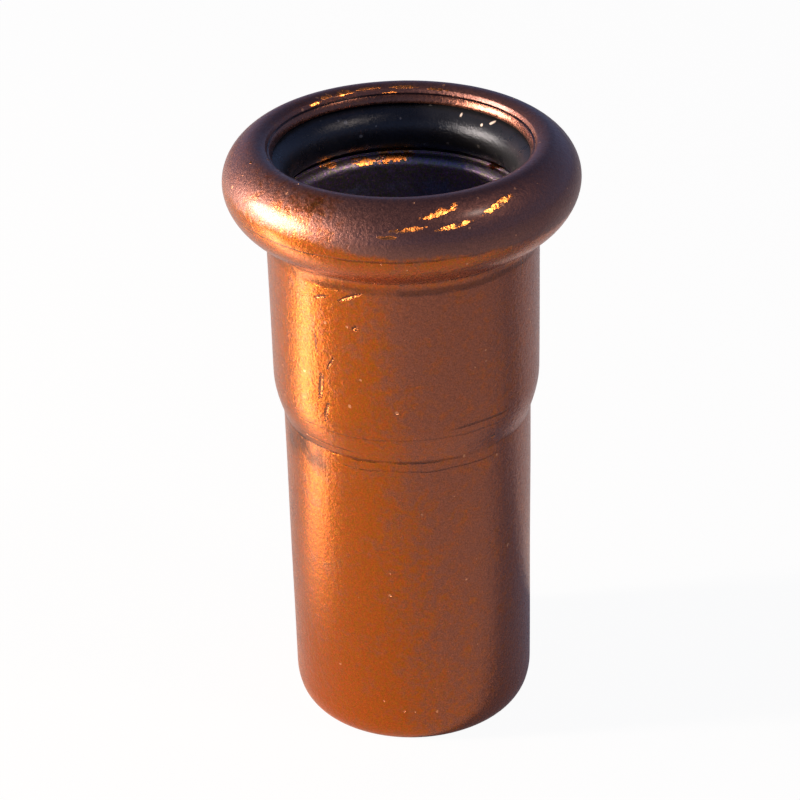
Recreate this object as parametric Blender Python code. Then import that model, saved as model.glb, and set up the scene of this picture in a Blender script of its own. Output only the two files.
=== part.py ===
"""Reducing nipple for press-fit copper tube: a plain spigot below, a beaded press socket above.

The fitting stands on its plain end. Its axis is the Z axis, and Z is zero at the end of the spigot.
The body is one piece of copper, turned from one closed section, and a rubber ring sits in the bead.
"""

import math

import bmesh
import bpy
from mathutils import Vector

MM = 0.001

# Spigot: the plain lower half, which goes into the socket of another fitting
SPIGOT_RADIUS = 8.0 * MM
SPIGOT_WALL = 1.3 * MM
SPIGOT_LENGTH = 21.8 * MM
END_ROUND_DEPTH = 0.8 * MM
END_ROUND_HEIGHT = 1.75 * MM
END_DEBURR = 0.1 * MM

# Taper between spigot and socket, and the tube stop that it leaves inside
TAPER_LENGTH = 2.7 * MM
STOP_DROP = 0.9 * MM

# Socket: the wider upper half, which takes the smaller tube
TUBE_RADIUS = 7.0 * MM
TUBE_CLEARANCE = 0.15 * MM
SOCKET_WALL = 1.4 * MM
SOCKET_LENGTH = 12.95 * MM

# Sealing ring: its section, how far it grips the tube, and its clearance in the groove
RING_SECTION_RADIUS = 1.5 * MM
RING_GRIP = 0.1 * MM
RING_GAP = 0.2 * MM

# Bead: the copper round the ring's groove, outside, above and below
BEAD_WALL = 0.98 * MM
BEAD_TOP_WALL = 1.22 * MM
BEAD_FOOT_WALL = 1.6 * MM
BEAD_FOOT_POWER = 1.88
BEAD_LIFT = 0.15 * MM
BEAD_ROOT_FILLET = 0.55 * MM
BEAD_ROOT_DROP = 0.8 * MM

# Mouth: the rolled rim, the narrow step part of the way down it, and the lip over the ring
LIP_CLEARANCE = 0.93 * MM
LIP_HEIGHT = 0.1 * MM
RIM_REACH = 1.63 * MM
RIM_ROUND = 1.15 * MM
STEP_ANGLE = 133.0
STEP_DEPTH = 0.07 * MM
RIM_END_ANGLE = 168.0
CROWN_INSET = 0.45 * MM

# Shoulder between the ring's groove and the socket's bore
GROOVE_START_ANGLE = 106.0
GROOVE_END_ANGLE = -108.0
SHOULDER_ROUND = 0.8 * MM
SHOULDER_FLATNESS = 0.8
SHOULDER_START_ANGLE = 95.0

# Fineness of the turned surfaces
SIDES = 60
RING_POINTS = 16
END_STEPS = 5
TAPER_STEPS = 5
FLANK_STEPS = 22
ROOT_STEPS = 3
CROWN_STEPS = 7
RIM_STEPS = 7
TRIM_STEPS = 4
GROOVE_STEPS = 16
SHOULDER_STEPS = 4
STOP_STEPS = 4

# Where the sections meet
SPIGOT_BORE = SPIGOT_RADIUS - SPIGOT_WALL
SOCKET_BORE = TUBE_RADIUS + TUBE_CLEARANCE
SOCKET_RADIUS = SOCKET_BORE + SOCKET_WALL
TAPER_TOP = SPIGOT_LENGTH + TAPER_LENGTH
RING_RADIUS = TUBE_RADIUS - RING_GRIP + RING_SECTION_RADIUS
RING_HEIGHT = TAPER_TOP + SOCKET_LENGTH
GROOVE_SECTION = RING_SECTION_RADIUS + RING_GAP
BEAD_HEIGHT = RING_HEIGHT + BEAD_LIFT
BEAD_RADIUS = RING_RADIUS + GROOVE_SECTION + BEAD_WALL
BEAD_RISE = GROOVE_SECTION + BEAD_TOP_WALL
BEAD_FALL = GROOVE_SECTION + BEAD_FOOT_WALL
LIP_RADIUS = TUBE_RADIUS + LIP_CLEARANCE
BEAD_CORE = LIP_RADIUS - CROWN_INSET
BEAD_REACH = BEAD_RADIUS - BEAD_CORE


def arc(centre, radii, start, end, steps, power=2.0):
    """Points of an elliptical arc as (radius, height), from start to end in degrees, 0 being outward.

    A power under 2 flattens the curve towards a straight flank, as in a superellipse.
    """
    points = []
    for step in range(steps + 1):
        angle = math.radians(start + (end - start) * step / steps)
        across = math.copysign(abs(math.cos(angle)) ** (2 / power), math.cos(angle))
        along = math.copysign(abs(math.sin(angle)) ** (2 / power), math.sin(angle))
        points.append((centre[0] + radii[0] * across, centre[1] + radii[1] * along))
    return points


def spigot_outline():
    """The rounded end, the plain side and the taper, from the bottom up."""
    round_centre = (SPIGOT_RADIUS - END_ROUND_DEPTH, END_ROUND_HEIGHT)
    points = arc(round_centre, (END_ROUND_DEPTH, END_ROUND_HEIGHT), -90, 0, END_STEPS)
    growth = SOCKET_RADIUS - SPIGOT_RADIUS
    for step in range(TAPER_STEPS + 1):
        share = step / TAPER_STEPS
        points.append(
            (
                SPIGOT_RADIUS + growth * math.sin(share * math.pi / 2),
                SPIGOT_LENGTH + TAPER_LENGTH * share,
            )
        )
    return points


def root_fillet(flank_start):
    """The hollow curve that blends the socket wall into the bead's flank."""
    flank_point = Vector(flank_start)
    wall_point = Vector((SOCKET_RADIUS, flank_point.y - BEAD_ROOT_DROP))
    corner = Vector((SOCKET_RADIUS, (wall_point.y + 3 * flank_point.y) / 4))
    points = []
    for step in range(ROOT_STEPS):
        share = step / ROOT_STEPS
        blend = (
            wall_point * (1 - share) ** 2
            + corner * 2 * share * (1 - share)
            + flank_point * share**2
        )
        points.append((blend.x, blend.y))
    return points


def bead_outline(crown_angle):
    """The bead from the socket wall, round its widest line, to the start of the rolled rim."""
    centre = (BEAD_CORE, BEAD_HEIGHT)
    foot = arc(centre, (BEAD_REACH, BEAD_FALL), -90, 0, FLANK_STEPS, BEAD_FOOT_POWER)
    clear_of_wall = SOCKET_RADIUS + BEAD_ROOT_FILLET
    flank = [point for point in foot if point[0] > clear_of_wall]
    crown = arc(centre, (BEAD_REACH, BEAD_RISE), 0, crown_angle, CROWN_STEPS)
    return root_fillet(flank[0]) + flank + crown[1:]


def mouth_outline(crown_angle):
    """The rolled rim, the step where the tube's end was trimmed, and the lip, from outside to inside.

    The rim's round starts on the bead's section and shares its slope there, so the two flow together.
    """
    turn = math.radians(crown_angle)
    start = Vector((BEAD_CORE + BEAD_REACH * math.cos(turn), BEAD_HEIGHT + BEAD_RISE * math.sin(turn)))
    outward = Vector((math.cos(turn) / BEAD_REACH, math.sin(turn) / BEAD_RISE)).normalized()
    centre = start - outward * RIM_ROUND
    start_angle = math.degrees(math.atan2(outward.y, outward.x))
    rim = arc(centre, (RIM_ROUND, RIM_ROUND), start_angle, STEP_ANGLE, RIM_STEPS)
    trimmed_round = RIM_ROUND - STEP_DEPTH
    trimmed = arc(centre, (trimmed_round, trimmed_round), STEP_ANGLE, RIM_END_ANGLE, TRIM_STEPS)
    lip_foot = (trimmed[-1][0], trimmed[-1][1] - LIP_HEIGHT)
    return rim[1:] + trimmed + [lip_foot]


def groove_outline():
    """The ring's groove and the shoulder under it, down to the socket's bore."""
    centre = (RING_RADIUS, RING_HEIGHT)
    section = (GROOVE_SECTION, GROOVE_SECTION)
    groove = arc(centre, section, GROOVE_START_ANGLE, GROOVE_END_ANGLE, GROOVE_STEPS)
    shoulder_height = groove[-1][1] - SHOULDER_ROUND
    shoulder = arc(
        (SOCKET_BORE + SHOULDER_ROUND, shoulder_height),
        (SHOULDER_ROUND, SHOULDER_ROUND * SHOULDER_FLATNESS),
        SHOULDER_START_ANGLE,
        180,
        SHOULDER_STEPS,
    )
    return groove + shoulder


def bore_outline():
    """The tube stop, the spigot's bore and the deburred inner edge of its end."""
    stop_top = TAPER_TOP - STOP_DROP
    stop_foot = SPIGOT_LENGTH - STOP_DROP
    step_in = SOCKET_BORE - SPIGOT_BORE
    points = []
    for step in range(STOP_STEPS + 1):
        share = step / STOP_STEPS
        inward = (1 - math.cos(share * math.pi)) / 2
        points.append((SOCKET_BORE - step_in * inward, stop_top + (stop_foot - stop_top) * share))
    points.append((SPIGOT_BORE, END_DEBURR))
    points.append((SPIGOT_BORE + END_DEBURR, 0.0))
    return points


def body_outline():
    """The closed section of the copper body, as (radius, height) points."""
    rim_start = LIP_RADIUS + RIM_REACH
    crown_angle = math.degrees(math.acos((rim_start - BEAD_CORE) / BEAD_REACH))
    outside = spigot_outline() + bead_outline(crown_angle) + mouth_outline(crown_angle)
    return outside + groove_outline() + bore_outline()


def ring_outline():
    """The round section of the sealing ring, about its own mid plane."""
    section = (RING_SECTION_RADIUS, RING_SECTION_RADIUS)
    return arc((RING_RADIUS, 0.0), section, 0, 360, RING_POINTS)[:-1]


def turned(name, outline, material):
    """An object turned about the Z axis from a closed outline of (radius, height) points."""
    shape = bmesh.new()
    corners = [shape.verts.new((radius, 0.0, height)) for radius, height in outline]
    edges = [
        shape.edges.new((corner, corners[(index + 1) % len(corners)]))
        for index, corner in enumerate(corners)
    ]
    bmesh.ops.spin(
        shape,
        geom=corners + edges,
        cent=(0.0, 0.0, 0.0),
        axis=(0.0, 0.0, 1.0),
        angle=math.tau,
        steps=SIDES,
        use_merge=True,
    )
    bmesh.ops.recalc_face_normals(shape, faces=shape.faces)
    mesh = bpy.data.meshes.new(name)
    shape.to_mesh(mesh)
    shape.free()
    mesh.shade_smooth()
    mesh.set_sharp_from_angle(angle=math.radians(35))
    mesh.materials.append(material)
    piece = bpy.data.objects.new(name, mesh)
    bpy.context.scene.collection.objects.link(piece)
    return piece


def finish_material(name, colour, metallic, roughness):
    """A plain Principled material."""
    material = bpy.data.materials.new(name)
    material.use_nodes = True
    shader = material.node_tree.nodes["Principled BSDF"]
    shader.inputs["Base Color"].default_value = (*colour, 1.0)
    shader.inputs["Metallic"].default_value = metallic
    shader.inputs["Roughness"].default_value = roughness
    return material


def clear_scene():
    """Removes what the scene holds."""
    for old in list(bpy.data.objects):
        bpy.data.objects.remove(old, do_unlink=True)


def fitting_body():
    """The copper body: spigot, taper, socket, bead and lip in one piece."""
    copper = finish_material("copper", (0.62, 0.30, 0.14), 1.0, 0.35)
    return turned("fitting_body", body_outline(), copper)


def sealing_ring():
    """The rubber ring in the bead's groove."""
    rubber = finish_material("black_rubber", (0.02, 0.022, 0.026), 0.0, 0.45)
    ring = turned("sealing_ring", ring_outline(), rubber)
    ring.location = (0.0, 0.0, RING_HEIGHT)
    return ring


def main():
    """Builds the fitting and hangs its pieces on one empty at the spigot's end."""
    clear_scene()
    axis = bpy.data.objects.new("fitting_axis", None)
    bpy.context.scene.collection.objects.link(axis)
    for piece in (fitting_body(), sealing_ring()):
        piece.parent = axis


main()
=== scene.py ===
# %% [markdown]
# # A reducing nipple for press-fit copper tube
#
# The real part is a length of copper tube that was widened at one end and rolled into a bead. A black
# rubber ring lies in the bead, just inside the mouth. The imported CAD model could be shaded as it is, but
# bare metal shows every flat face and sharp edge. So its sizes are kept, and the same two pieces are made
# again as smooth surfaces with their real finishes.
#
# First the imported model is loaded.

# %% Load the imported model
import math

import bpy
import numpy as np
from mathutils import Matrix


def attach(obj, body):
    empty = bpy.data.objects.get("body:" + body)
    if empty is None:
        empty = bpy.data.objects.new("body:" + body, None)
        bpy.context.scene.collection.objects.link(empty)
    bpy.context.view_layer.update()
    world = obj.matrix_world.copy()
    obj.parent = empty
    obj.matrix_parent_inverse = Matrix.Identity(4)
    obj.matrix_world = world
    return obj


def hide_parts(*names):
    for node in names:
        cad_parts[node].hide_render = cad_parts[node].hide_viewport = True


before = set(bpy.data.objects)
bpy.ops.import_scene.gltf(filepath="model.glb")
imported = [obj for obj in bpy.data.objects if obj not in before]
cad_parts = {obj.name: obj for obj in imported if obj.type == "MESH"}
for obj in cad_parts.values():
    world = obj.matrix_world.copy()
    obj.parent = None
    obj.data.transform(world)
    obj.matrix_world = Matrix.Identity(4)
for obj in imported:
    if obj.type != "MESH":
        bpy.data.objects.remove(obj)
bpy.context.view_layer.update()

print("packed pieces:", sorted(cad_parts))

# %% [markdown]
# # The sizes
#
# On the real part, the two tubes that it joins set the main diameters. The sizes could be measured from the
# loaded meshes, but a named size says what it is for. So these are the same sizes as in the CAD source, in
# millimetres. They are turned into metres only when a mesh is made.

# %% Sizes of the fitting, in millimetres
MM = 0.001
SPIGOT_RADIUS, SPIGOT_BORE, SPIGOT_LENGTH = 8.0, 6.7, 21.8
END_ROUND_DEPTH, END_ROUND_HEIGHT, END_DEBURR = 0.8, 1.75, 0.1
TAPER_LENGTH, STOP_DROP = 2.7, 0.9
SOCKET_BORE, SOCKET_RADIUS = 7.15, 8.55
RING_SECTION_RADIUS, RING_RADIUS, RING_HEIGHT, GROOVE_SECTION = 1.5, 8.4, 37.45, 1.7
BEAD_HEIGHT, BEAD_CORE, BEAD_REACH, BEAD_RISE, BEAD_FALL = 37.6, 7.48, 3.6, 2.92, 3.3
BEAD_FOOT_POWER, BEAD_ROOT_FILLET, BEAD_ROOT_DROP = 1.88, 0.55, 0.8
RIM_START_RADIUS, RIM_ROUND, STEP_DEPTH, RIM_END_ANGLE, LIP_HEIGHT = 9.56, 1.15, 0.07, 168.0, 0.1
BEVEL_ANGLE, BEVEL_LENGTH, BEVEL_TILT = 125.0, 0.30, 24.0
GROOVE_START_ANGLE, GROOVE_END_ANGLE = 106.0, -108.0
SHOULDER_ROUND, SHOULDER_FLATNESS = 0.8, 0.8
TAPER_TOP = SPIGOT_LENGTH + TAPER_LENGTH
print("the taper ends", TAPER_TOP, "mm up, and the ring's middle is", RING_HEIGHT, "mm up")

# %% [markdown]
# # The section
#
# A turned part is fully described by its section: the line that a saw cut along the axis would show. It
# could be drawn freehand as a curve, but then no size could be read off it. So it is made of stretches with
# a formula each: elliptical arcs where the tube was rolled or rounded, and straight lines where it was left
# alone. Joined up they make one closed line, up the outside, over the rim and down the bore.

# %% An arc of the section
def arc(centre, radii, start, end, count=60, power=2.0):
    """Points of an elliptical arc as (radius, height), from start to end in degrees, 0 being outward.

    across = cos(turn) and along = sin(turn), each raised to 2 / power, then stretched to the radii.
    A power under 2 flattens the curve towards a straight flank.
    """
    turn = np.radians(np.linspace(start, end, count))
    across = np.sign(np.cos(turn)) * np.abs(np.cos(turn)) ** (2 / power)
    along = np.sign(np.sin(turn)) * np.abs(np.sin(turn)) ** (2 / power)
    return np.column_stack([centre[0] + radii[0] * across, centre[1] + radii[1] * along])


print("half a round of radius 1 ends at", arc((0, 0), (1, 1), 0, 180)[-1].round(3))


# %% The outside: rounded end, spigot, taper, socket and bead
def outside_section():
    """The end's quarter ellipse, then a taper, then the bead. Also gives the angle at which the rim starts.

    The taper's radius grows as the sine of the share climbed. The bead's foot joins the wall by a hollow
    curve: wall (1-t)^2 + corner 2t(1-t) + flank t^2.
    """
    end_centre = (SPIGOT_RADIUS - END_ROUND_DEPTH, END_ROUND_HEIGHT)
    end = arc(end_centre, (END_ROUND_DEPTH, END_ROUND_HEIGHT), -90, 0)
    share = np.linspace(0, 1, 60)
    taper_radius = SPIGOT_RADIUS + (SOCKET_RADIUS - SPIGOT_RADIUS) * np.sin(share * np.pi / 2)
    taper = np.column_stack([taper_radius, SPIGOT_LENGTH + TAPER_LENGTH * share])
    centre = (BEAD_CORE, BEAD_HEIGHT)
    foot = arc(centre, (BEAD_REACH, BEAD_FALL), -90, 0, 200, BEAD_FOOT_POWER)
    flank = foot[foot[:, 0] > SOCKET_RADIUS + BEAD_ROOT_FILLET]
    wall = np.array([SOCKET_RADIUS, flank[0, 1] - BEAD_ROOT_DROP])
    corner = np.array([SOCKET_RADIUS, (wall[1] + 3 * flank[0, 1]) / 4])
    t = np.linspace(0, 1, 40)[:, None]
    hollow = wall * (1 - t) ** 2 + corner * 2 * t * (1 - t) + flank[0] * t**2
    rim_start = math.degrees(math.acos((RIM_START_RADIUS - BEAD_CORE) / BEAD_REACH))
    crown = arc(centre, (BEAD_REACH, BEAD_RISE), 0, rim_start)
    return np.vstack([end, taper, hollow, flank[1:], crown[1:]]), rim_start


outside, rim_start = outside_section()
print("the outside has", len(outside), "points")
print("the rim starts", round(rim_start, 1), "degrees up the bead")


# %% The mouth: rolled rim, bevel, step and lip
def mouth_section(rim_start):
    """A round that shares its slope with the bead, a short bevel down it, a narrow step, and a smaller round.

    The bevel runs down its length at its tilt. The smaller round starts at the height where the bevel ends.
    """
    turn = math.radians(rim_start)
    start = np.array([BEAD_CORE + BEAD_REACH * math.cos(turn), BEAD_HEIGHT + BEAD_RISE * math.sin(turn)])
    outward = np.array([math.cos(turn) / BEAD_REACH, math.sin(turn) / BEAD_RISE])
    outward /= np.linalg.norm(outward)
    centre = start - outward * RIM_ROUND
    first = math.degrees(math.atan2(outward[1], outward[0]))
    rim = arc(centre, (RIM_ROUND, RIM_ROUND), first, BEVEL_ANGLE)
    tilt = math.radians(BEVEL_TILT)
    step = rim[-1] - BEVEL_LENGTH * np.array([math.sin(tilt), math.cos(tilt)])
    inner = RIM_ROUND - STEP_DEPTH
    lip_start = 180 - math.degrees(math.asin((step[1] - centre[1]) / inner))
    lip = arc(centre, (inner, inner), lip_start, RIM_END_ANGLE)
    return rim[1:], np.vstack([step, lip, lip[-1] - (0, LIP_HEIGHT)])


rim, lip = mouth_section(rim_start)
print("the rim is", rim[:, 1].max().round(3), "mm up, and the lip's step is", lip[0, 1].round(3), "mm up")


# %% The inside: groove, shoulder, bore and tube stop
def inside_section():
    """The groove's round, the shoulder's quarter ellipse, and a stop whose radius falls as half a cosine."""
    groove_radii = (GROOVE_SECTION, GROOVE_SECTION)
    groove = arc((RING_RADIUS, RING_HEIGHT), groove_radii, GROOVE_START_ANGLE, GROOVE_END_ANGLE, 120)
    middle = (SOCKET_BORE + SHOULDER_ROUND, groove[-1, 1] - SHOULDER_ROUND)
    shoulder = arc(middle, (SHOULDER_ROUND, SHOULDER_ROUND * SHOULDER_FLATNESS), 95, 180, 40)
    share = np.linspace(0, 1, 30)
    stop_radius = SOCKET_BORE - (SOCKET_BORE - SPIGOT_BORE) * (1 - np.cos(share * np.pi)) / 2
    stop = np.column_stack([stop_radius, TAPER_TOP - STOP_DROP - TAPER_LENGTH * share])
    foot = np.array([[SPIGOT_BORE, END_DEBURR], [SPIGOT_BORE + END_DEBURR, 0.0]])
    return np.vstack([groove, shoulder, stop, foot])


inside = inside_section()
print("the inside has", len(inside), "points, and its narrowest radius is", inside[:, 0].min(), "mm")

# %% [markdown]
# # From the section to a smooth line
#
# Rolled copper has no knife edges. A Bevel modifier could round the mesh later, but it can leave thin
# faces, and bare metal shows their shading. So the line itself is softened: it is sampled very finely and
# blurred along its length by a few hundredths of a millimetre, which rounds every corner a little. Then it
# is sampled again, with many points where it bends and few where it is straight.

# %% Soften and resample a closed line
def soften(line, spacing=0.02, blur=0.03):
    """The closed line at even steps, each point a mean of its neighbours weighed by a bell of width blur."""
    closed = np.vstack([line, line[:1]])
    length = np.concatenate([[0], np.cumsum(np.linalg.norm(np.diff(closed, axis=0), axis=1))])
    steps = np.arange(0, length[-1], spacing)
    even = np.column_stack([np.interp(steps, length, closed[:, axis]) for axis in (0, 1)])
    frequency = np.fft.fftfreq(len(even), spacing)
    bell = np.exp(-2 * (np.pi * frequency * blur) ** 2)[:, None]
    return np.real(np.fft.ifft(np.fft.fft(even, axis=0) * bell, axis=0))


def share_out(line, count, straight_step=0.5, turn_step=5.0):
    """count points of the closed line, crowded by its bend: one more for each turn_step degrees."""
    ahead = np.roll(line, -1, axis=0) - line
    angle = np.unwrap(np.arctan2(ahead[:, 1], ahead[:, 0]))
    bend = np.abs(np.degrees(np.roll(angle, -1) - angle))
    bend[-1] = 0
    weight = np.linalg.norm(ahead, axis=1) / straight_step + bend / turn_step
    total = np.concatenate([[0], np.cumsum(weight)])
    wanted = np.linspace(0, total[-1], count, endpoint=False)
    closed = np.vstack([line, line[:1]])
    return np.column_stack([np.interp(wanted, total, closed[:, axis]) for axis in (0, 1)])


square = np.array([(0.0, 0.0), (1.0, 0.0), (1.0, 1.0), (0.0, 1.0)])
print("softening keeps a square's corner within", np.abs(soften(square) - 1).sum(axis=1).min().round(3), "mm")

# %% The body's section, ready to turn
BODY_POINTS, BODY_SIDES = 270, 256
body_line = share_out(soften(np.vstack([outside, rim, lip, inside])), BODY_POINTS)
print("the section has", len(body_line), "points, and reaches", body_line.max(axis=0).round(3), "mm")

# %% [markdown]
# # Turning the section
#
# The real walls came off round tools, so the surface is a section turned about the axis. A Screw modifier
# could turn it, but a grid worked out at once gives every point a place along the section and a turn, which
# the dents and the material slots need. Each point's UV is that pair too. The seam is at the back.

# %% Turn a closed section into a mesh
def turned(name, line, sides, zones, materials, shape=None):
    """A closed surface: x = r sin(turn), y = -r cos(turn), z = height, for every (r, height) and every turn.

    shape(radius, height, turn) may move the points a little. zones gives each stretch's material.
    """
    count = len(line)
    turn = np.linspace(-np.pi, np.pi, sides, endpoint=False)
    radius = np.repeat(line[:, :1], sides, axis=1)
    height = np.repeat(line[:, 1:], sides, axis=1)
    turn = np.repeat(turn[None, :], count, axis=0)
    if shape is not None:
        radius = shape(radius, height, turn)
    points = np.stack([radius * np.sin(turn), -radius * np.cos(turn), height], axis=-1).reshape(-1, 3) * MM
    along, around = np.meshgrid(np.arange(count), np.arange(sides), indexing="ij")
    here, ahead = along * sides, (along + 1) % count * sides
    beside = (around + 1) % sides
    corners = np.stack([here + around, here + beside, ahead + beside, ahead + around], -1)
    mesh = bpy.data.meshes.new(name)
    mesh.from_pydata(points, [], corners.reshape(-1, 4))
    for material in materials:
        mesh.materials.append(material)
    mesh.polygons.foreach_set("material_index", np.repeat(zones, sides).astype(np.int32))
    mesh.polygons.foreach_set("use_smooth", np.ones(count * sides, dtype=bool))
    unrolled = mesh.uv_layers.new(name="unrolled")
    u = np.stack([around, around + 1, around + 1, around], -1) / sides
    v = np.stack([along, along, along + 1, along + 1], -1) / count
    unrolled.data.foreach_set("uv", np.stack([u, v], -1).ravel().astype(np.float32))
    mesh.update()
    piece = bpy.data.objects.new(name, mesh)
    bpy.context.scene.collection.objects.link(piece)
    print(name, "has", 2 * count * sides, "triangles")
    return piece


print("the body will be a grid of", len(body_line), "by", BODY_SIDES, "points")

# %% [markdown]
# # Small unevenness of the tube
#
# The body was pressed and handled, so it isn't a perfect turning. A shallow oval dent lies on the socket's
# left side, and the wall swells and sinks by a hundredth of a millimetre. Sculpting could do it, but a
# formula on the grid can be read and repeated. All of it goes inwards, so that the body stays inside the
# box of the CAD model.

# %% Dents and swells
DENTS = np.array([
    # turn in degrees, height, width and depth in millimetres
    (-37.5, 25.9, 1.1, 0.05), (-21.0, 31.2, 0.6, 0.02), (42.0, 29.0, 0.7, 0.015), (12.0, 14.5, 0.9, 0.02),
])
DENT_UPRIGHT = 0.75          # under 1, a dent is longer up the tube than across it
WALL_RADIUS = 8.3            # about the middle of the two walls' radii
OUTER_REACH = 7.9            # only what lies further out moves: the walls, the bead and the groove
SWELL = 0.006


def handled(radius, height, turn):
    """Takes dents and waves off the radius, wherever it is over OUTER_REACH.

    A dent is depth times exp(-(distance / width)^2). The waves are SWELL times 2 plus two sines, one of 3
    waves round the tube and one of 5, both shifted as they climb.
    """
    dent_turn, dent_height, width, depth = DENTS.T
    across = (np.degrees(turn)[..., None] - dent_turn) * np.radians(WALL_RADIUS)
    along = (height[..., None] - dent_height) * DENT_UPRIGHT
    dents = (depth * np.exp(-(across**2 + along**2) / width**2)).sum(axis=-1)
    waves = SWELL * (2 + np.sin(3 * turn + height * 0.3) + np.sin(5 * turn - height * 0.55))
    return radius - np.where(radius > OUTER_REACH, dents + waves, 0.0)


print(len(DENTS), "dents, the deepest", DENTS[:, 3].max(), "mm, and swells of up to", 4 * SWELL, "mm")

# %% [markdown]
# # Tools for the materials
#
# The finishes have no image behind them: each is a small network of nodes. It could be joined up by hand in
# the editor, but then it couldn't be read as text. These helpers place a node, set its values and join it
# up in one line, so that each material below reads as a list of steps.

# %% Place and join nodes
def place(tree, kind, values=None, **settings):
    """A new node. values maps an input's name or number to a number, a colour, or another node's output."""
    node = tree.nodes.new(kind)
    for name, value in settings.items():
        setattr(node, name, value)
    for name, value in (values or {}).items():
        if isinstance(value, bpy.types.NodeSocket):
            tree.links.new(value, node.inputs[name])
        else:
            node.inputs[name].default_value = value
    return node


def maths(tree, operation, *terms, clamp=False):
    """The output of a Math node."""
    values = dict(enumerate(terms))
    return place(tree, "ShaderNodeMath", values, operation=operation, use_clamp=clamp).outputs[0]


def plus(tree, first, second):
    """The sum of two values."""
    return maths(tree, "ADD", first, second)


def minus(tree, first, second):
    """The first value less the second."""
    return maths(tree, "SUBTRACT", first, second)


def times(tree, first, *others):
    """All the values multiplied, from the left."""
    for other in others:
        first = maths(tree, "MULTIPLY", first, other)
    return first


def over(tree, first, second):
    """The first value divided by the second."""
    return maths(tree, "DIVIDE", first, second)


def vectors(tree, operation, *terms):
    """The outputs of a Vector Math node."""
    return place(tree, "ShaderNodeVectorMath", dict(enumerate(terms)), operation=operation).outputs


print("node tools:", [tool.__name__ for tool in (place, maths, plus, minus, times, over, vectors)])


# %% Cloudy values and mixed colours
def between(tree, value, low, high, out_low=0.0, out_high=1.0):
    """value, eased from low..high to out_low..out_high."""
    values = {"Value": value, "From Min": low, "From Max": high, "To Min": out_low, "To Max": out_high}
    return place(tree, "ShaderNodeMapRange", values, interpolation_type="SMOOTHSTEP").outputs["Result"]


def noise(tree, vector, scale, detail=2.0, roughness=0.5, distortion=0.0):
    """A cloudy value from 0 to 1."""
    values = {"Vector": vector, "Scale": scale, "Detail": detail, "Roughness": roughness}
    return place(tree, "ShaderNodeTexNoise", {**values, "Distortion": distortion}).outputs["Fac"]


def mixed(tree, factor, first, second, blend="MIX"):
    """Two colours mixed, or blended in another way."""
    node = place(tree, "ShaderNodeMix", {0: factor}, data_type="RGBA", blend_type=blend)
    for number, colour in ((6, first), (7, second)):
        if isinstance(colour, bpy.types.NodeSocket):
            tree.links.new(colour, node.inputs[number])
        else:
            node.inputs[number].default_value = (*colour[:3], 1.0)
    return node.outputs[2]


def shaded(tree, colour, brightness):
    """The colour times a brightness."""
    grey = place(tree, "ShaderNodeCombineColor", {0: brightness, 1: brightness, 2: brightness}).outputs[0]
    return mixed(tree, 1.0, colour, grey, "MULTIPLY")


print("colour tools:", [tool.__name__ for tool in (between, noise, mixed, shaded)])


# %% Start a material or a shared group
def new_material(name):
    """An empty node material, and its tree."""
    material = bpy.data.materials.new(name)
    material.use_nodes = True
    material.node_tree.nodes.clear()
    return material, material.node_tree


def millimetres(tree):
    """The place on the piece in its own coordinates, in millimetres."""
    here = place(tree, "ShaderNodeTexCoord").outputs["Object"]
    return place(tree, "ShaderNodeVectorMath", {0: here, "Scale": 1 / MM}, operation="SCALE").outputs[0]


def new_group(name, inputs, outputs):
    """An empty node group with named inputs (name, kind, value) and outputs (name, kind)."""
    group = bpy.data.node_groups.new(name, "ShaderNodeTree")
    for label, kind, value in inputs:
        socket = group.interface.new_socket(label, in_out="INPUT", socket_type="NodeSocket" + kind)
        if value is not None:
            socket.default_value = value
    for label, kind in outputs:
        group.interface.new_socket(label, in_out="OUTPUT", socket_type="NodeSocket" + kind)
    return group, group.nodes.new("NodeGroupInput").outputs, group.nodes.new("NodeGroupOutput")


def put_out(group, out, results):
    """Joins each result to the group's output of that name."""
    for name, value in results.items():
        group.links.new(value, out.inputs[name])
    print("group", repr(group.name), "has", len(group.nodes), "nodes")


def use(tree, group, values):
    """The outputs of a shared group, placed in this tree with its own values."""
    return place(tree, "ShaderNodeGroup", values, node_tree=group).outputs


print("group tools:", [tool.__name__ for tool in (new_material, millimetres, new_group, put_out, use)])

# %% [markdown]
# # Shared effect: grain
#
# Drawn copper and moulded rubber both have a fine grain, and a coarser mottling of their colour. Both could
# come from one noise, but the eye reads them apart, so there are two. The group takes a place in
# millimetres and gives both as values between 0 and 1.

# %% The grain group
grain_group, given, out = new_group(
    "fine grain",
    [("Place", "Vector", None), ("Grain Size", "Float", 0.2), ("Blotch Size", "Float", 2.0)],
    [("Grain", "Float"), ("Blotch", "Float")],
)
per_grain = over(grain_group, 1.0, given["Grain Size"])
per_blotch = over(grain_group, 1.0, given["Blotch Size"])
fine = noise(grain_group, given["Place"], per_grain, 3.0, 0.6)
coarse = noise(grain_group, given["Place"], per_blotch, 4.0, 0.62, 0.4)
grain = between(grain_group, fine, 0.3, 0.7)
blotch = between(grain_group, coarse, 0.26, 0.74)
put_out(grain_group, out, {"Grain": grain, "Blotch": blotch})

# %% [markdown]
# # Shared effect: specks
#
# Dust lies on the rubber, and small bright nicks are scattered over the copper. A noise with a high
# threshold would give blots of every shape. A Voronoi pattern gives one point in each cell, and so round
# dots. The cell's random colour decides whether it has a dot and how big it is.

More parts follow.
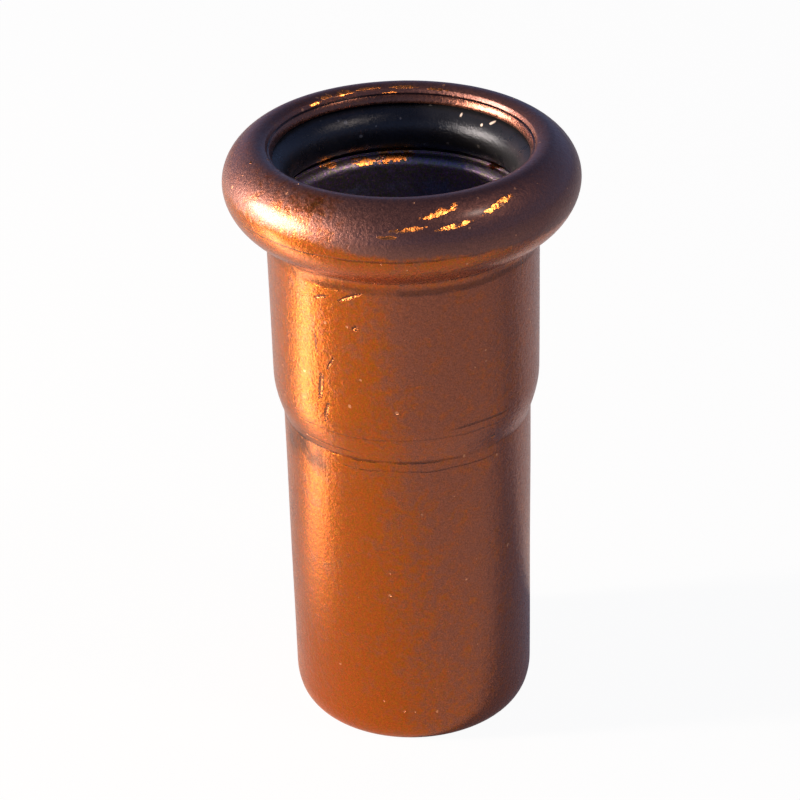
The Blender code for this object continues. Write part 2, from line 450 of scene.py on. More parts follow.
# %% The specks group
speck_group, given, out = new_group(
    "specks",
    [("Place", "Vector", None), ("Spacing", "Float", 0.6), ("Size", "Float", 0.12), ("Share", "Float", 0.3)],
    [("Mask", "Float")],
)
per_cell = over(speck_group, 1.0, given["Spacing"])
wander = place(speck_group, "ShaderNodeTexNoise", {"Vector": given["Place"], "Scale": 4.0, "Detail": 1.0})
shift = vectors(speck_group, "MULTIPLY", wander.outputs["Color"], (0.12, 0.12, 0.12))[0]
moved = vectors(speck_group, "ADD", given["Place"], shift)[0]
cell = place(speck_group, "ShaderNodeTexVoronoi", {"Vector": moved, "Scale": per_cell}).outputs
pick = place(speck_group, "ShaderNodeSeparateColor", {"Color": cell["Color"]}).outputs
reach = times(speck_group, given["Size"], per_cell, pick["Green"])
dot = maths(speck_group, "LESS_THAN", cell["Distance"], reach)
chosen = maths(speck_group, "LESS_THAN", pick["Red"], given["Share"])
put_out(speck_group, out, {"Mask": times(speck_group, dot, chosen)})

# %% [markdown]
# # Where on the tube
#
# A person would place a mark on a tube by turn and level: so many degrees round from the front, so many
# millimetres up. The UV map could give both, but it is stretched by the section. So this group works them
# out from the object's own coordinates.

# %% The tube place group
tube_group, given, out = new_group(
    "place on the tube", [("Place", "Vector", None)], [("Turn", "Float"), ("Level", "Float")]
)
axes = place(tube_group, "ShaderNodeSeparateXYZ", {"Vector": given["Place"]}).outputs
in_front = times(tube_group, axes["Y"], -1.0)
turn = maths(tube_group, "DEGREES", maths(tube_group, "ARCTAN2", axes["X"], in_front))
put_out(tube_group, out, {"Turn": turn, "Level": axes["Z"]})

# %% [markdown]
# # Effect: turned lines and bands of painted shade
#
# Where the tube was expanded, the tool left fine lines round it. They could be cut into the mesh, but they
# are far finer than its faces. So each is a thin band about one level, which darkens the colour and sinks
# the bump. It wavers a little, and it is clear over one stretch of the turn and nearly gone elsewhere. The
# same group lays bands of painted shade: narrow ones in the crease under the bead and in the lip's step,
# and broad ones that dim the copper on the left of the spigot's top and under the bead.

# %% The ring line group
line_and_shade_group, given, out = new_group(
    "ring line",
    [
        ("Turn", "Float", 0.0), ("Level", "Float", 0.0), ("Cloud", "Float", 0.5), ("Height", "Float", 22.0),
        ("Width", "Float", 0.1), ("Waver", "Float", 0.1), ("Middle", "Float", 0.0), ("Reach", "Float", 180.0),
        ("Rest", "Float", 0.2),
    ],
    [("Mask", "Float")],
)
waver = times(line_and_shade_group, minus(line_and_shade_group, given["Cloud"], 0.5), given["Waver"])
offset = minus(line_and_shade_group, plus(line_and_shade_group, given["Level"], waver), given["Height"])
off = over(line_and_shade_group, maths(line_and_shade_group, "ABSOLUTE", offset), given["Width"])
band = between(line_and_shade_group, off, 0.2, 1.0, 1.0, 0.0)
apart = maths(line_and_shade_group, "WRAP", minus(line_and_shade_group, given["Turn"], given["Middle"]), 180.0, -180.0)
share = over(line_and_shade_group, maths(line_and_shade_group, "ABSOLUTE", apart), given["Reach"])
clear = between(line_and_shade_group, share, 0.6, 1.1, 1.0, given["Rest"])
patchy = between(line_and_shade_group, given["Cloud"], 0.3, 0.6, 0.45, 1.0)
put_out(line_and_shade_group, out, {"Mask": times(line_and_shade_group, band, clear, patchy)})

# %% [markdown]
# # Effect: a mark
#
# A scratch is a thin straight mark at one place: a dark furrow with a bright burr along its lower edge. A
# rub has only the bright part. Noise alone would scatter such marks anywhere, and these have known places.
# So the group measures along and across a mark from its middle, and lets a noise break up its edge.

# %% The mark group
MM_A_DEGREE = 0.157          # round a wall of 9 mm radius
RAGGEDNESS = 3.2
mark_group, given, out = new_group(
    "mark",
    [
        ("Turn", "Float", 0.0), ("Level", "Float", 0.0), ("Ragged", "Float", 0.5), ("Angle", "Float", 0.0),
        ("Height", "Float", 30.0), ("Slant", "Float", 0.0), ("Length", "Float", 2.0), ("Width", "Float", 0.2),
    ],
    [("Mark", "Float"), ("Burr", "Float")],
)
apart = maths(mark_group, "WRAP", minus(mark_group, given["Turn"], given["Angle"]), 180.0, -180.0)
across = times(mark_group, apart, MM_A_DEGREE)
up = minus(mark_group, given["Level"], given["Height"])
slant = maths(mark_group, "RADIANS", given["Slant"])
cosine = maths(mark_group, "COSINE", slant)
sine = maths(mark_group, "SINE", slant)
long_way = plus(mark_group, times(mark_group, across, cosine), times(mark_group, up, sine))
wide_way = minus(mark_group, times(mark_group, up, cosine), times(mark_group, across, sine))
half_length = times(mark_group, given["Length"], 0.5)
half_width = times(mark_group, given["Width"], 0.5)
far_long = over(mark_group, maths(mark_group, "ABSOLUTE", long_way), half_length)
far_wide = over(mark_group, maths(mark_group, "ABSOLUTE", wide_way), half_width)
oval = plus(mark_group, maths(mark_group, "POWER", far_long, 2.0), maths(mark_group, "POWER", far_wide, 2.0))
rough_edge = times(mark_group, minus(mark_group, given["Ragged"], 0.5), RAGGEDNESS)
mark = between(mark_group, plus(mark_group, oval, rough_edge), 0.6, 1.2, 1.0, 0.0)
low_side = between(mark_group, over(mark_group, wide_way, given["Width"]), -0.12, 0.02, 1.0, 0.0)
put_out(mark_group, out, {"Mark": mark, "Burr": times(mark_group, mark, low_side)})

# %% [markdown]
# # Effect: breaks in the wear
#
# No scratch, rub or line on real metal is even: it skips and frays. Each mark could have a noise of its
# own, but one set of clouds in the object's own coordinates does for all of them, and costs less.

# %% The wear group
wear_group, given, out = new_group(
    "breaks in the wear",
    [("Place", "Vector", None)],
    [("Cloud", "Float"), ("Ragged", "Float"), ("Broken", "Float"), ("Glints", "Float"), ("Flecks", "Float")],
)
cloud = noise(wear_group, given["Place"], 0.6, 2.0)
ragged = noise(wear_group, given["Place"], 3.5, 3.0)
broken = noise(wear_group, given["Place"], 7.0, 2.0, 0.6)
glints = between(wear_group, broken, 0.40, 0.56)
flecks = between(wear_group, noise(wear_group, given["Place"], 2.6, 3.0), 0.34, 0.46)
clouds = {"Cloud": cloud, "Ragged": ragged, "Broken": broken, "Glints": glints, "Flecks": flecks}
put_out(wear_group, out, clouds)

# %% [markdown]
# # Effect: tarnish and painted shade
#
# Copper that has lain in a store is orange where it is cleaner, and a dull mauve-brown where it has
# tarnished. Slow changes over the fitting make it duller and darker on the right and on the crown of the
# bead, which is partly tarnish and partly painted shade, and darker towards the left of the back. On the
# bead's underside they make it brighter and more orange, which is painted light. Painted vertex colours
# could show that, but the mesh is too coarse for its patches. So the slow changes are added to mottling in
# two sizes, and the sum is eased into a value from bright to dull.

# %% The tarnish group
tarnish_and_shade_group, given, out = new_group(
    "tarnish_and_shade",
    [
        ("Place", "Vector", None), ("Level", "Float", 0.0), ("Blotch", "Float", 0.5),
        ("Fine Blotch", "Float", 0.5),
    ],
    [("Dullness And Shade", "Float"), ("Hue", "Float")],
)
rightward = vectors(tarnish_and_shade_group, "DOT_PRODUCT", given["Place"], (0.118, -0.021, 0.014))["Value"]
leftward_back = vectors(tarnish_and_shade_group, "DOT_PRODUCT", given["Place"], (-0.109, 0.0625, 0.0))["Value"]
tilted_level = vectors(tarnish_and_shade_group, "DOT_PRODUCT", given["Place"], (0.05, 0.0, 1.0))["Value"]
# Duller and darker to the right: partly tarnish, partly painted shade.
right_tarnish_and_shade = between(tarnish_and_shade_group, minus(tarnish_and_shade_group, rightward, 0.28), -0.25, 0.45, -0.32, 0.34)
# Painted light: the bead's underside is kept bright and orange.
painted_underside_light = between(tarnish_and_shade_group, given["Level"], 33.6, 34.8, 0.0, -0.70)
# Duller and darker on the bead's crown: partly tarnish, partly painted shade.
crown = between(tarnish_and_shade_group, tilted_level, 36.8, 37.8, 0.0, 1.2)
# Darker towards the left of the back.
left_back = between(tarnish_and_shade_group, leftward_back, 0.35, 0.80, 0.0, 0.28)
sides = plus(tarnish_and_shade_group, plus(tarnish_and_shade_group, right_tarnish_and_shade, painted_underside_light), crown)
sides = plus(tarnish_and_shade_group, sides, left_back)
blotch = times(tarnish_and_shade_group, given["Blotch"], 0.45)
fine_blotch = times(tarnish_and_shade_group, given["Fine Blotch"], 0.55)
patches = plus(tarnish_and_shade_group, blotch, fine_blotch)
dullness_and_shade = between(tarnish_and_shade_group, plus(tarnish_and_shade_group, patches, sides), 0.05, 1.0)
hue = between(tarnish_and_shade_group, noise(tarnish_and_shade_group, given["Place"], 6.0, 3.0, 0.6), 0.35, 0.65)
put_out(tarnish_and_shade_group, out, {"Dullness And Shade": dullness_and_shade, "Hue": hue})

# %% [markdown]
# # Effect: drawing streaks
#
# The die that drew the tube left long faint streaks up the walls. A wave texture would space them evenly,
# which they aren't. So a noise is stretched until it hardly changes along the axis. The bead was rolled
# afterwards and has none.

# %% The streaks group
streak_group, given, out = new_group(
    "drawing streaks", [("Place", "Vector", None), ("Level", "Float", 0.0)], [("Height", "Float")]
)
stretched = vectors(streak_group, "MULTIPLY", given["Place"], (1.0, 1.0, 0.05))[0]
on_wall = between(streak_group, given["Level"], 32.5, 34.5, 1.0, 0.0)
streak = times(streak_group, noise(streak_group, stretched, 3.2, 3.0, 0.6), on_wall)
put_out(streak_group, out, {"Height": streak})

# %% [markdown]
# # Effect: worn flats
#
# Where the bead rubbed against other fittings, the round metal is worn to small flats. They mirror a window
# that the round metal beside them doesn't, and so they flash. They could be cut into the mesh, but they are
# a few tenths of a millimetre wide. So the normal leans over to the way that the flats face.

# %% The flats group
FLAT_FACING = (0.3165, -0.637, 0.704)
LEAN = 0.7
flat_group, given, out = new_group(
    "worn flats", [("Normal", "Vector", None), ("Share", "Float", 0.0)], [("Normal", "Vector")]
)
values = {0: times(flat_group, given["Share"], LEAN), 4: given["Normal"], 5: FLAT_FACING}
leaning = place(flat_group, "ShaderNodeMix", values, data_type="VECTOR").outputs[1]
put_out(flat_group, out, {"Normal": vectors(flat_group, "NORMALIZE", leaning)[0]})

# %% [markdown]
# # The marks of this fitting
#
# The handling marks sit where the real fitting has them. They could be strewn at random, but a few
# well-placed ones make it this fitting and no other. So each is a row of numbers.

# %% Marks that handling left
SCRATCHES = [
    # angle, height, slant, length, width
    (-23.0, 33.25, 24.0, 1.7, 0.30), (-36.5, 32.85, 18.0, 1.0, 0.26), (-21.0, 31.2, 20.0, 0.34, 0.34),
    (-38.5, 26.6, 82.0, 2.0, 0.42), (-36.0, 24.9, 75.0, 1.3, 0.36), (-33.0, 28.4, 60.0, 1.1, 0.2),
    (-40.0, 29.6, 95.0, 1.2, 0.16), (40.0, 22.5, 10.0, 0.4, 0.3), (57.0, 33.5, 80.0, 1.1, 0.2),
    (150.0, 28.0, 15.0, 2.2, 0.2), (-120.0, 16.0, 60.0, 2.6, 0.16),
]
BEAD_RUBS = [
    (13.0, 39.64, 12.0, 2.2, 0.30), (33.0, 39.44, 12.0, 2.2, 0.30), (2.0, 38.94, 5.0, 1.9, 0.24),
    (16.5, 38.93, 6.0, 1.8, 0.26), (-5.0, 38.55, 0.0, 0.9, 0.2), (-139.0, 39.84, 0.0, 1.2, 0.18),
    (-146.0, 40.0, 0.0, 0.9, 0.14), (-155.0, 39.98, 0.0, 1.2, 0.22), (-166.0, 40.02, 0.0, 1.7, 0.09),
    (178.0, 40.0, 0.0, 2.0, 0.12), (163.0, 39.95, 0.0, 1.4, 0.12), (-176.0, 39.7, 0.0, 1.2, 0.16),
    (-72.0, 40.0, 0.0, 0.3, 0.08),
]
SHOULDER_RUBS = [
    (-177.0, 35.66, -6.0, 3.0, 0.8), (-161.0, 35.45, 4.0, 2.0, 0.4), (-143.0, 35.7, 4.0, 1.6, 0.3),
    (130.0, 35.8, -8.0, 1.8, 0.3), (-172.0, 35.3, 0.0, 0.5, 0.2),
]
print(len(SCRATCHES), "scratches and", len(BEAD_RUBS) + len(SHOULDER_RUBS), "rubs")

# %% Lines that the tools left, and bands of painted shade
WALL_LINES_AND_SHADE = [
    # height, width, waver, middle, reach, rest, darkness
    (21.72, 0.13, 0.3, -35.0, 60.0, 0.35, 0.6), (24.15, 0.10, 0.3, 34.0, 16.0, 0.12, 0.5),
    (23.55, 0.08, 0.4, -10.0, 80.0, 0.2, 0.3), (22.3, 0.07, 0.3, -42.0, 18.0, 0.15, 0.5),
    # The row at 33.8 is painted shade in the crease under the bead; 21.0 and 34.0 are broad bands of painted
    # shade.
    (33.8, 0.34, 0.4, 10.0, 70.0, 0.3, 0.5), (21.05, 0.07, 0.4, 0.0, 50.0, 0.2, 0.35),
    (21.0, 1.8, 0.5, -57.0, 22.0, 0.0, 0.8), (34.0, 0.6, 0.3, -50.0, 30.0, 0.0, 0.3),
]
BEAD_LINES_AND_SHADE = [
    # 34.45 is painted shade in the crease under the bead, 35.0 a broad band of painted shade; 37.02 is a
    # turned line.
    (34.45, 0.10, 0.1, 55.0, 30.0, 0.1, 0.8), (37.02, 0.09, 0.25, -30.0, 60.0, 0.3, 0.5),
    (35.0, 1.1, 0.3, -50.0, 34.0, 0.0, 0.34),
]
# The lip's crease row is painted shade in its step.
LIP_CREASE_SHADE = [(39.655, 0.05, 0.02, 0.0, 200.0, 1.0, 0.95)]
print(len(WALL_LINES_AND_SHADE), "lines on the walls,", len(BEAD_LINES_AND_SHADE), "on the bead,", len(LIP_CREASE_SHADE), "at the lip")

# %% [markdown]
# # The copper
#
# The tube is bare metal, so nearly all its colour comes from what it mirrors, and the roughness decides how
# soft that mirror image is. One material with masks could cover the whole body, but the lip, the bead, the
# walls and the bore differ in more than colour. So one function builds a copper from its two colours and
# two roughnesses, bright and tarnished, and from the marks that it carries.

# %% Colours and depths of the marks
# The line colour darkens the tool lines and also paints the bands of shade.
NICK_COLOUR, LINE_AND_SHADE_COLOUR = (0.95, 0.42, 0.20), (0.05, 0.018, 0.010)
FURROW_COLOUR, FRESH_COLOUR = (0.10, 0.035, 0.02), (1.0, 0.30, 0.06)
GRAIN_HEIGHT, STREAK_HEIGHT, MOTTLE_HEIGHT, BURR_HEIGHT = 0.45, 0.5, 0.6, 2.2
NICK_DEPTH, LINE_DEPTH, FURROW_DEPTH = 0.8, 2.5, 3.0
print("a furrow is", round(FURROW_DEPTH / LINE_DEPTH, 2), "times as deep as a ring line")


# %% Lay lines, scratches and rubs on a copper
def lined_and_shaded(tree, surface, on_tube, wear, rows):
    """Darkens and sinks the surface along each ring line and each band of painted shade."""
    for level, width, waver, middle, reach, rest, dark in rows:
        values = {"Turn": on_tube["Turn"], "Level": on_tube["Level"], "Cloud": wear["Cloud"], "Height": level}
        values |= {"Width": width, "Waver": waver, "Middle": middle, "Reach": reach, "Rest": rest}
        mask = times(tree, use(tree, line_and_shade_group, values)["Mask"], dark)
        surface["colour"] = mixed(tree, mask, surface["colour"], LINE_AND_SHADE_COLOUR)
        surface["height"] = minus(tree, surface["height"], times(tree, mask, LINE_DEPTH))


def mark_at(tree, on_tube, ragged, row):
    """The mark group's outputs for one row of angle, height, slant, length and width."""
    angle, level, slant, length, width = row
    values = {"Turn": on_tube["Turn"], "Level": on_tube["Level"], "Ragged": ragged, "Angle": angle}
    values |= {"Height": level, "Slant": slant, "Length": length, "Width": width}
    return use(tree, mark_group, values)


def freshened(tree, surface, wear, lit):
    """Shows fresh metal, smoother and raised, where lit."""
    surface["colour"] = mixed(tree, lit, surface["colour"], FRESH_COLOUR)
    surface["shine"] = minus(tree, surface["shine"], times(tree, lit, surface["polish"]))
    surface["height"] = plus(tree, surface["height"], times(tree, lit, wear["Ragged"], BURR_HEIGHT))


def scratched(tree, surface, on_tube, wear, rows):
    """Cuts a dark furrow for each scratch, and raises its bright burr."""
    for row in rows:
        found = mark_at(tree, on_tube, wear["Broken"], row)
        surface["colour"] = mixed(tree, times(tree, found["Mark"], 0.8), surface["colour"], FURROW_COLOUR)
        surface["height"] = minus(tree, surface["height"], times(tree, found["Mark"], FURROW_DEPTH))
        freshened(tree, surface, wear, times(tree, found["Burr"], wear["Glints"]))


def rubbed(tree, surface, on_tube, wear, rows):
    """Wears each rub down to a bright flat."""
    for row in rows:
        lit = times(tree, mark_at(tree, on_tube, wear["Ragged"], row)["Mark"], wear["Flecks"])
        freshened(tree, surface, wear, lit)
        surface["flat"] = maths(tree, "MAXIMUM", surface["flat"], lit)


print("mark tools:", [tool.__name__ for tool in (lined_and_shaded, scratched, rubbed)])


# %% Build a copper material
def copper(name, bright, dull, roughness, dull_roughness, lines_and_shade=(), scratches=(), rubs=(), nick_share=0.14,
           coat=(0.35, 0.28), relief=0.017):
    """Bare copper with tarnish and painted shade, grain and drawing streaks, and the lines, bands of painted
    shade, scratches and rubs that are given.

    coat is the weight and the roughness of the clear film on the metal, and relief is the bump's depth in mm.
    """
    redder = tuple(np.array(bright) * (1.10, 0.90, 1.4))
    yellower = tuple(np.array(bright) * (0.86, 1.10, 0.5))
    material, tree = new_material(name)
    spot = millimetres(tree)
    on_tube = use(tree, tube_group, {"Place": spot})
    wear = use(tree, wear_group, {"Place": spot})
    grain = use(tree, grain_group, {"Place": spot, "Grain Size": 0.20, "Blotch Size": 2.4})
    mottle = use(tree, grain_group, {"Place": spot, "Grain Size": 0.085, "Blotch Size": 0.5})
    nicks = use(tree, speck_group, {"Place": spot, "Spacing": 0.7, "Size": 0.12, "Share": nick_share})["Mask"]
    streaks = use(tree, streak_group, {"Place": spot, "Level": on_tube["Level"]})["Height"]
    blotches = {"Blotch": grain["Blotch"], "Fine Blotch": mottle["Blotch"]}
    tarnish_and_shade = use(tree, tarnish_and_shade_group, {"Place": spot, "Level": on_tube["Level"], **blotches})

    # The dull colour carries both the tarnish and the painted shade of the tarnish group.
    colour = mixed(tree, tarnish_and_shade["Dullness And Shade"], mixed(tree, tarnish_and_shade["Hue"], redder, yellower), dull)
    colour = shaded(tree, colour, between(tree, mottle["Grain"], 0.0, 1.0, 0.80, 1.14))
    colour = mixed(tree, times(tree, nicks, 0.6), colour, NICK_COLOUR)
    smoothness = between(tree, tarnish_and_shade["Dullness And Shade"], 0.0, 1.0, roughness, dull_roughness)
    shine = plus(tree, smoothness, between(tree, grain["Grain"], 0.0, 1.0, -0.05, 0.05))
    height = plus(tree, times(tree, grain["Grain"], GRAIN_HEIGHT), times(tree, streaks, STREAK_HEIGHT))
    height = plus(tree, height, times(tree, mottle["Blotch"], MOTTLE_HEIGHT))
    height = minus(tree, height, times(tree, nicks, NICK_DEPTH))

    polish = dull_roughness - roughness
    surface = {"colour": colour, "shine": shine, "height": height, "flat": 0.0, "polish": polish}
    lined_and_shaded(tree, surface, on_tube, wear, lines_and_shade)
    scratched(tree, surface, on_tube, wear, scratches)
    rubbed(tree, surface, on_tube, wear, rubs)

    values = {"Height": surface["height"], "Strength": 1.0, "Distance": relief * MM}
    bump = place(tree, "ShaderNodeBump", values).outputs["Normal"]
    leaning = use(tree, flat_group, {"Normal": bump, "Share": surface["flat"]})["Normal"]
    metal = place(tree, "ShaderNodeBsdfPrincipled", {
        "Base Color": surface["colour"], "Roughness": surface["shine"], "Normal": leaning, "Metallic": 0.9,
        "Coat Weight": coat[0], "Coat Roughness": coat[1], "Coat IOR": 1.5,
    })
    place(tree, "ShaderNodeOutputMaterial", {"Surface": metal.outputs[0]})
    print(name, "is made with", len(tree.nodes), "nodes")
    return material


# %% The coppers of this fitting
drawn_copper = copper(
    "drawn copper", (0.53, 0.121, 0.006), (0.35, 0.115, 0.060), 0.21, 0.26,
    lines_and_shade=WALL_LINES_AND_SHADE, scratches=SCRATCHES, coat=(0.24, 0.26), relief=0.020,
)
# The bead's darker dull colour is partly tarnish and partly painted shade for its dark crown.
bead_copper = copper(
    "bead copper", (0.52, 0.118, 0.006), (0.24, 0.100, 0.070), 0.23, 0.47,
    lines_and_shade=BEAD_LINES_AND_SHADE, rubs=BEAD_RUBS, nick_share=0.6, coat=(0.35, 0.2), relief=0.022,
)
trimmed_copper = copper(
    "trimmed copper", (0.50, 0.16, 0.06), (0.28, 0.10, 0.055), 0.22, 0.30, lines_and_shade=LIP_CREASE_SHADE,
)
# The bore's grey-blue is partly tarnish and partly a painted cool sheen for the dim light inside.
bore_copper_painted_sheen = copper(
    "bore copper with painted sheen", (0.53, 0.39, 0.41), (0.36, 0.37, 0.52), 0.42, 0.58, rubs=SHOULDER_RUBS, coat=(0.1, 0.4),
)

# %% [markdown]
# # The body's faces
#
# The lip was trimmed with a knife, so it is brighter than the rolled bead. The groove and bore are a
# grey-blue copper, partly tarnish and partly a painted cool sheen for the dim light inside. The faces could
# be picked by hand, but each stretch of the section has one finish all round. So a face's copper follows
# from the place of its stretch along the section.

# %% Sort the stretches by finish
BEAD_FOOT = 34.25
LIP_BOTTOM, LIP_RADIUS = 39.0, 8.25
GROOVE_RADIUS = 10.2
RIM_INSIDE, RIM_BOTTOM = 8.2, 39.3
middle = (body_line + np.roll(body_line, -1, axis=0)) / 2
radius, height = middle.T
past_top = np.arange(len(middle)) > height.argmax()
on_lip = past_top & (height > LIP_BOTTOM) & (radius < LIP_RADIUS)
on_rim = (height > RIM_BOTTOM) & (radius > RIM_INSIDE)
within = past_top & ~on_lip & (radius < GROOVE_RADIUS) & ~on_rim
on_bead = (height > BEAD_FOOT) & ~on_lip & ~within
zones = np.select([on_lip, within, on_bead], [1, 2, 3], 0)
for number, zone in enumerate(["walls", "lip", "inside", "bead"]):
    print(int((zones == number).sum()), "stretches of the section belong to the", zone)

# %% Turn the body
coppers = [drawn_copper, trimmed_copper, bore_copper_painted_sheen, bead_copper]
body = turned("fitting_body_turned", body_line, BODY_SIDES, zones, coppers, handled)
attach(body, "root")
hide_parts("fitting_body")

# %% [markdown]
# # The rubber ring
#
# The ring is a plain moulded torus, black with a soft shine, and dust from the box clings to it. Blender's
# own torus would do, but turning it like the body keeps one way for both pieces. The dust is colour only,
# and so are three larger crumbs at known places.

# %% The rubber
RUBBER_BLACK, DUST_COLOUR, CRUMB_COLOUR = (0.020, 0.021, 0.025), (0.28, 0.27, 0.26), (1.0, 0.86, 0.74)
CRUMBS = [
    # angle, height, slant, length, width
    (149.5, 38.74, 0.0, 0.22, 0.17), (131.2, 38.80, -20.0, 0.34, 0.17), (136.0, 38.55, 10.0, 0.26, 0.17),
]
rubber, tree = new_material("ring rubber")
spot = millimetres(tree)
on_ring = use(tree, tube_group, {"Place": spot})
grain = use(tree, grain_group, {"Place": spot, "Grain Size": 0.12, "Blotch Size": 1.2})
dust = use(tree, speck_group, {"Place": spot, "Spacing": 0.5, "Size": 0.13, "Share": 0.16})["Mask"]
ragged = use(tree, wear_group, {"Place": spot})["Ragged"]
colour = shaded(tree, RUBBER_BLACK, between(tree, grain["Blotch"], 0.0, 1.0, 0.9, 1.15))
colour = mixed(tree, times(tree, dust, 0.6), colour, DUST_COLOUR)
for row in CRUMBS:
    colour = mixed(tree, mark_at(tree, on_ring, ragged, row)["Mark"], colour, CRUMB_COLOUR)
soft = between(tree, grain["Blotch"], 0.0, 1.0, 0.27, 0.30)
bump = place(tree, "ShaderNodeBump", {"Height": grain["Grain"], "Strength": 1.0, "Distance": 0.008 * MM})
moulded = place(tree, "ShaderNodeBsdfPrincipled", {
    "Base Color": colour, "Roughness": soft, "Normal": bump.outputs["Normal"], "Specular IOR Level": 0.5,
})
place(tree, "ShaderNodeOutputMaterial", {"Surface": moulded.outputs[0]})
print("ring rubber is made with", len(tree.nodes), "nodes")

# %% Turn the ring
RING_POINTS, RING_SIDES = 64, 200
ring_radii = (RING_SECTION_RADIUS, RING_SECTION_RADIUS)
ring_line = arc((RING_RADIUS, RING_HEIGHT), ring_radii, 0, 360, RING_POINTS + 1)[:-1]
ring = turned("sealing_ring_turned", ring_line, RING_SIDES, np.zeros(RING_POINTS), [rubber])
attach(ring, "root")
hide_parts("sealing_ring")

# %% [markdown]
# # The studio
#
# Bare metal looks like its surroundings, so they matter as much as the material. The fitting stands on a
# pale floor, and the room above it is dark and cool. A picture of a real room would light the metal well,
# but it couldn't be tuned. So the room is a plain gradient. The floor shows white in the picture and a
# little in the metal, through the Light Path node, and still takes the shadow.

# %% A level sheet
def sheet(name, west, east, south, north, height, material):
    """A rectangle at one height: x from west to east, and y from south to north."""
    corners = [(west, south, height), (east, south, height), (east, north, height), (west, north, height)]
    mesh = bpy.data.meshes.new(name)
    mesh.from_pydata(corners, [], [(0, 1, 2, 3)])
    mesh.materials.append(material)
    flat = bpy.data.objects.new(name, mesh)
    bpy.context.scene.collection.objects.link(flat)
    print(name, "is", round(east - west, 3), "by", round(north - south, 3), "m")
    return flat


# %% The floor
SHOWN_WHITE, MIRRORED_WHITE = 0.93, 0.04
paper, tree = new_material("floor paper")
seen = place(tree, "ShaderNodeLightPath").outputs
shown = maths(tree, "ADD", seen["Is Camera Ray"], seen["Is Transmission Ray"], clamp=True)
mirrored = times(tree, seen["Is Glossy Ray"], MIRRORED_WHITE)
weight = plus(tree, times(tree, shown, SHOWN_WHITE), mirrored)
matt = place(tree, "ShaderNodeBsdfDiffuse", {"Color": (0.82, 0.82, 0.82, 1.0)})
glow = place(tree, "ShaderNodeEmission", {"Color": (1.0, 1.0, 1.0, 1.0), "Strength": 1.02})
both = place(tree, "ShaderNodeMixShader", {0: weight, 1: matt.outputs[0], 2: glow.outputs[0]})
place(tree, "ShaderNodeOutputMaterial", {"Surface": both.outputs[0]})
paper.cycles.emission_sampling = "NONE"
floor = sheet("floor", -3, 3, -3, 3, 0, paper)

# %% The room
LOW_AIR, HIGH_AIR = (0.19, 0.28, 0.54), (0.032, 0.058, 0.15)
room = bpy.data.worlds.new("room")
bpy.context.scene.world = room
room.use_nodes = True
tree = room.node_tree
tree.nodes.clear()
direction = place(tree, "ShaderNodeTexCoord").outputs["Generated"]
rise = place(tree, "ShaderNodeSeparateXYZ", {"Vector": direction}).outputs["Z"]
air = mixed(tree, between(tree, rise, 0.05, 0.75), LOW_AIR, HIGH_AIR)
sky = place(tree, "ShaderNodeBackground", {"Color": air, "Strength": 1.0})
place(tree, "ShaderNodeOutputWorld", {"Surface": sky.outputs[0]})
print("the room is made with", len(tree.nodes), "nodes")

# %% [markdown]
# # The lamps
#
# The light comes from low on the left. One large lamp would do for that, but its shadow would be too soft,
# and a small one would give the metal a hard spot to mirror. So a small warm lamp lights the fitting and
# casts the shadow without being mirrored, and a large pale screen in nearly the same place is mirrored
# without lighting anything. A weak fill warms the left side, and a high window at the front right makes the
# worn flats flash.

# %% The four lamps
def lamp(name, where, aim, size, power, colour, mirrored=True, lights=True):
    """An oval soft box that faces the point aim. It may be left out of mirror images, or be only in them."""
    light = bpy.data.lights.new(name, "AREA")
    light.shape = "ELLIPSE"
    light.size, light.size_y = size
    light.energy = power
    light.color = colour
    holder = bpy.data.objects.new(name, light)
    holder.location = where
    towards = np.array(aim) - np.array(where)
    lean = math.acos(-towards[2] / np.linalg.norm(towards))
    holder.rotation_euler = (lean, 0.0, math.atan2(-towards[0], towards[1]))
    holder.visible_glossy, holder.visible_diffuse = mirrored, lights
    holder.visible_camera = False
    bpy.context.scene.collection.objects.link(holder)
    print(name, "gives", power, "W")


middle, foot, mouth = (0.0, 0.0, 0.03), (0.0, 0.0, 0.0), (0.0, 0.0, 0.038)
lamp("key lamp", (-0.487, -0.04, 0.130), middle, (0.05, 0.05), 4.2, (1.0, 0.85, 0.72), mirrored=False)
lamp("key screen", (-0.487, -0.04, 0.115), middle, (0.40, 0.24), 7.2, (1.0, 0.90, 0.86), lights=False)
lamp("side fill", (-0.14, -0.01, 0.075), foot, (0.05, 0.05), 0.08, (1.0, 0.62, 0.14), mirrored=False)
lamp("high window", (0.29, -0.136, 0.421), mouth, (0.09, 0.07), 0.38, (1.0, 0.85, 0.76))

# %% [markdown]
# # The reflector
#
# The long soft streak down the left of the tube is the mirror image of something bright lying beside it. It
# could be painted on the tube, but then it would stay there when the tube turns. So it is a warm card on
# the floor, which only the metal sees. Its glow fades towards its edges.

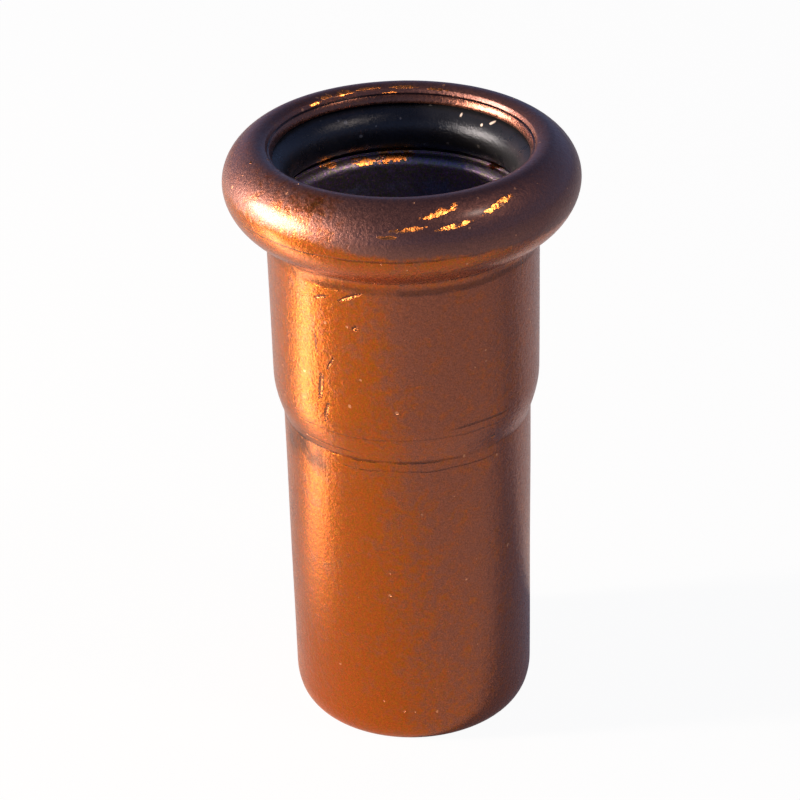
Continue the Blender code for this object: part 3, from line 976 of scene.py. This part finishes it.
# %% A card on the floor, seen only in reflections
shining, tree = new_material("reflector glow")
where = place(tree, "ShaderNodeTexCoord").outputs["Object"]
axes = place(tree, "ShaderNodeSeparateXYZ", {"Vector": where}).outputs
sideways = maths(tree, "ABSOLUTE", plus(tree, axes["Y"], 0.002))
narrow = between(tree, sideways, 0.0, 0.012, 1.0, 0.0)
nearing = between(tree, axes["X"], -0.072, -0.014, 1.0, 0.0)
ending = between(tree, axes["X"], -0.115, -0.085, 0.0, 1.0)
level = times(tree, narrow, nearing, ending)
glow = place(tree, "ShaderNodeEmission", {"Color": (1.0, 0.90, 0.76, 1.0), "Strength": 12.8})
clear = place(tree, "ShaderNodeBsdfTransparent")
faded = place(tree, "ShaderNodeMixShader", {0: level, 1: clear.outputs[0], 2: glow.outputs[0]})
place(tree, "ShaderNodeOutputMaterial", {"Surface": faded.outputs[0]})
shining.cycles.emission_sampling = "NONE"
card = sheet("reflector", -0.120, -0.012, -0.022, 0.018, 0.0004, shining)
card.visible_camera = card.visible_diffuse = card.visible_shadow = card.visible_transmission = False

# %% [markdown]
# # The camera
#
# The photograph was taken from the front, looking down by about thirty degrees. The camera could be set by
# eye, but then the outline would never quite fit. So its place and turn were worked out from the outline,
# with the spigot's diameter as the scale.

# %% The camera
lens = bpy.data.cameras.new("camera")
lens.lens, lens.sensor_width, lens.shift_x = 108.276, 36.0, -0.05
lens.clip_start, lens.clip_end = 0.005, 20.0
right = np.array([0.99959, -0.024197, -0.015283])
forward = np.array([0.013532, 0.870155, -0.492592])
right, forward = right / np.linalg.norm(right), forward / np.linalg.norm(forward)
upward = np.cross(right, forward)
upward /= np.linalg.norm(upward)
right = np.cross(forward, upward)
stand = np.array([0.0, -135.831, 98.519]) * MM
rows = np.column_stack([right, upward, -forward, stand])
camera = bpy.data.objects.new("camera", lens)
camera.matrix_world = Matrix([*rows.tolist(), [0.0, 0.0, 0.0, 1.0]])
bpy.context.scene.collection.objects.link(camera)
bpy.context.scene.camera = camera
bpy.context.scene.view_settings.view_transform = "Standard"
print("the camera looks down by", round(math.degrees(math.asin(-forward[2])), 1), "degrees")
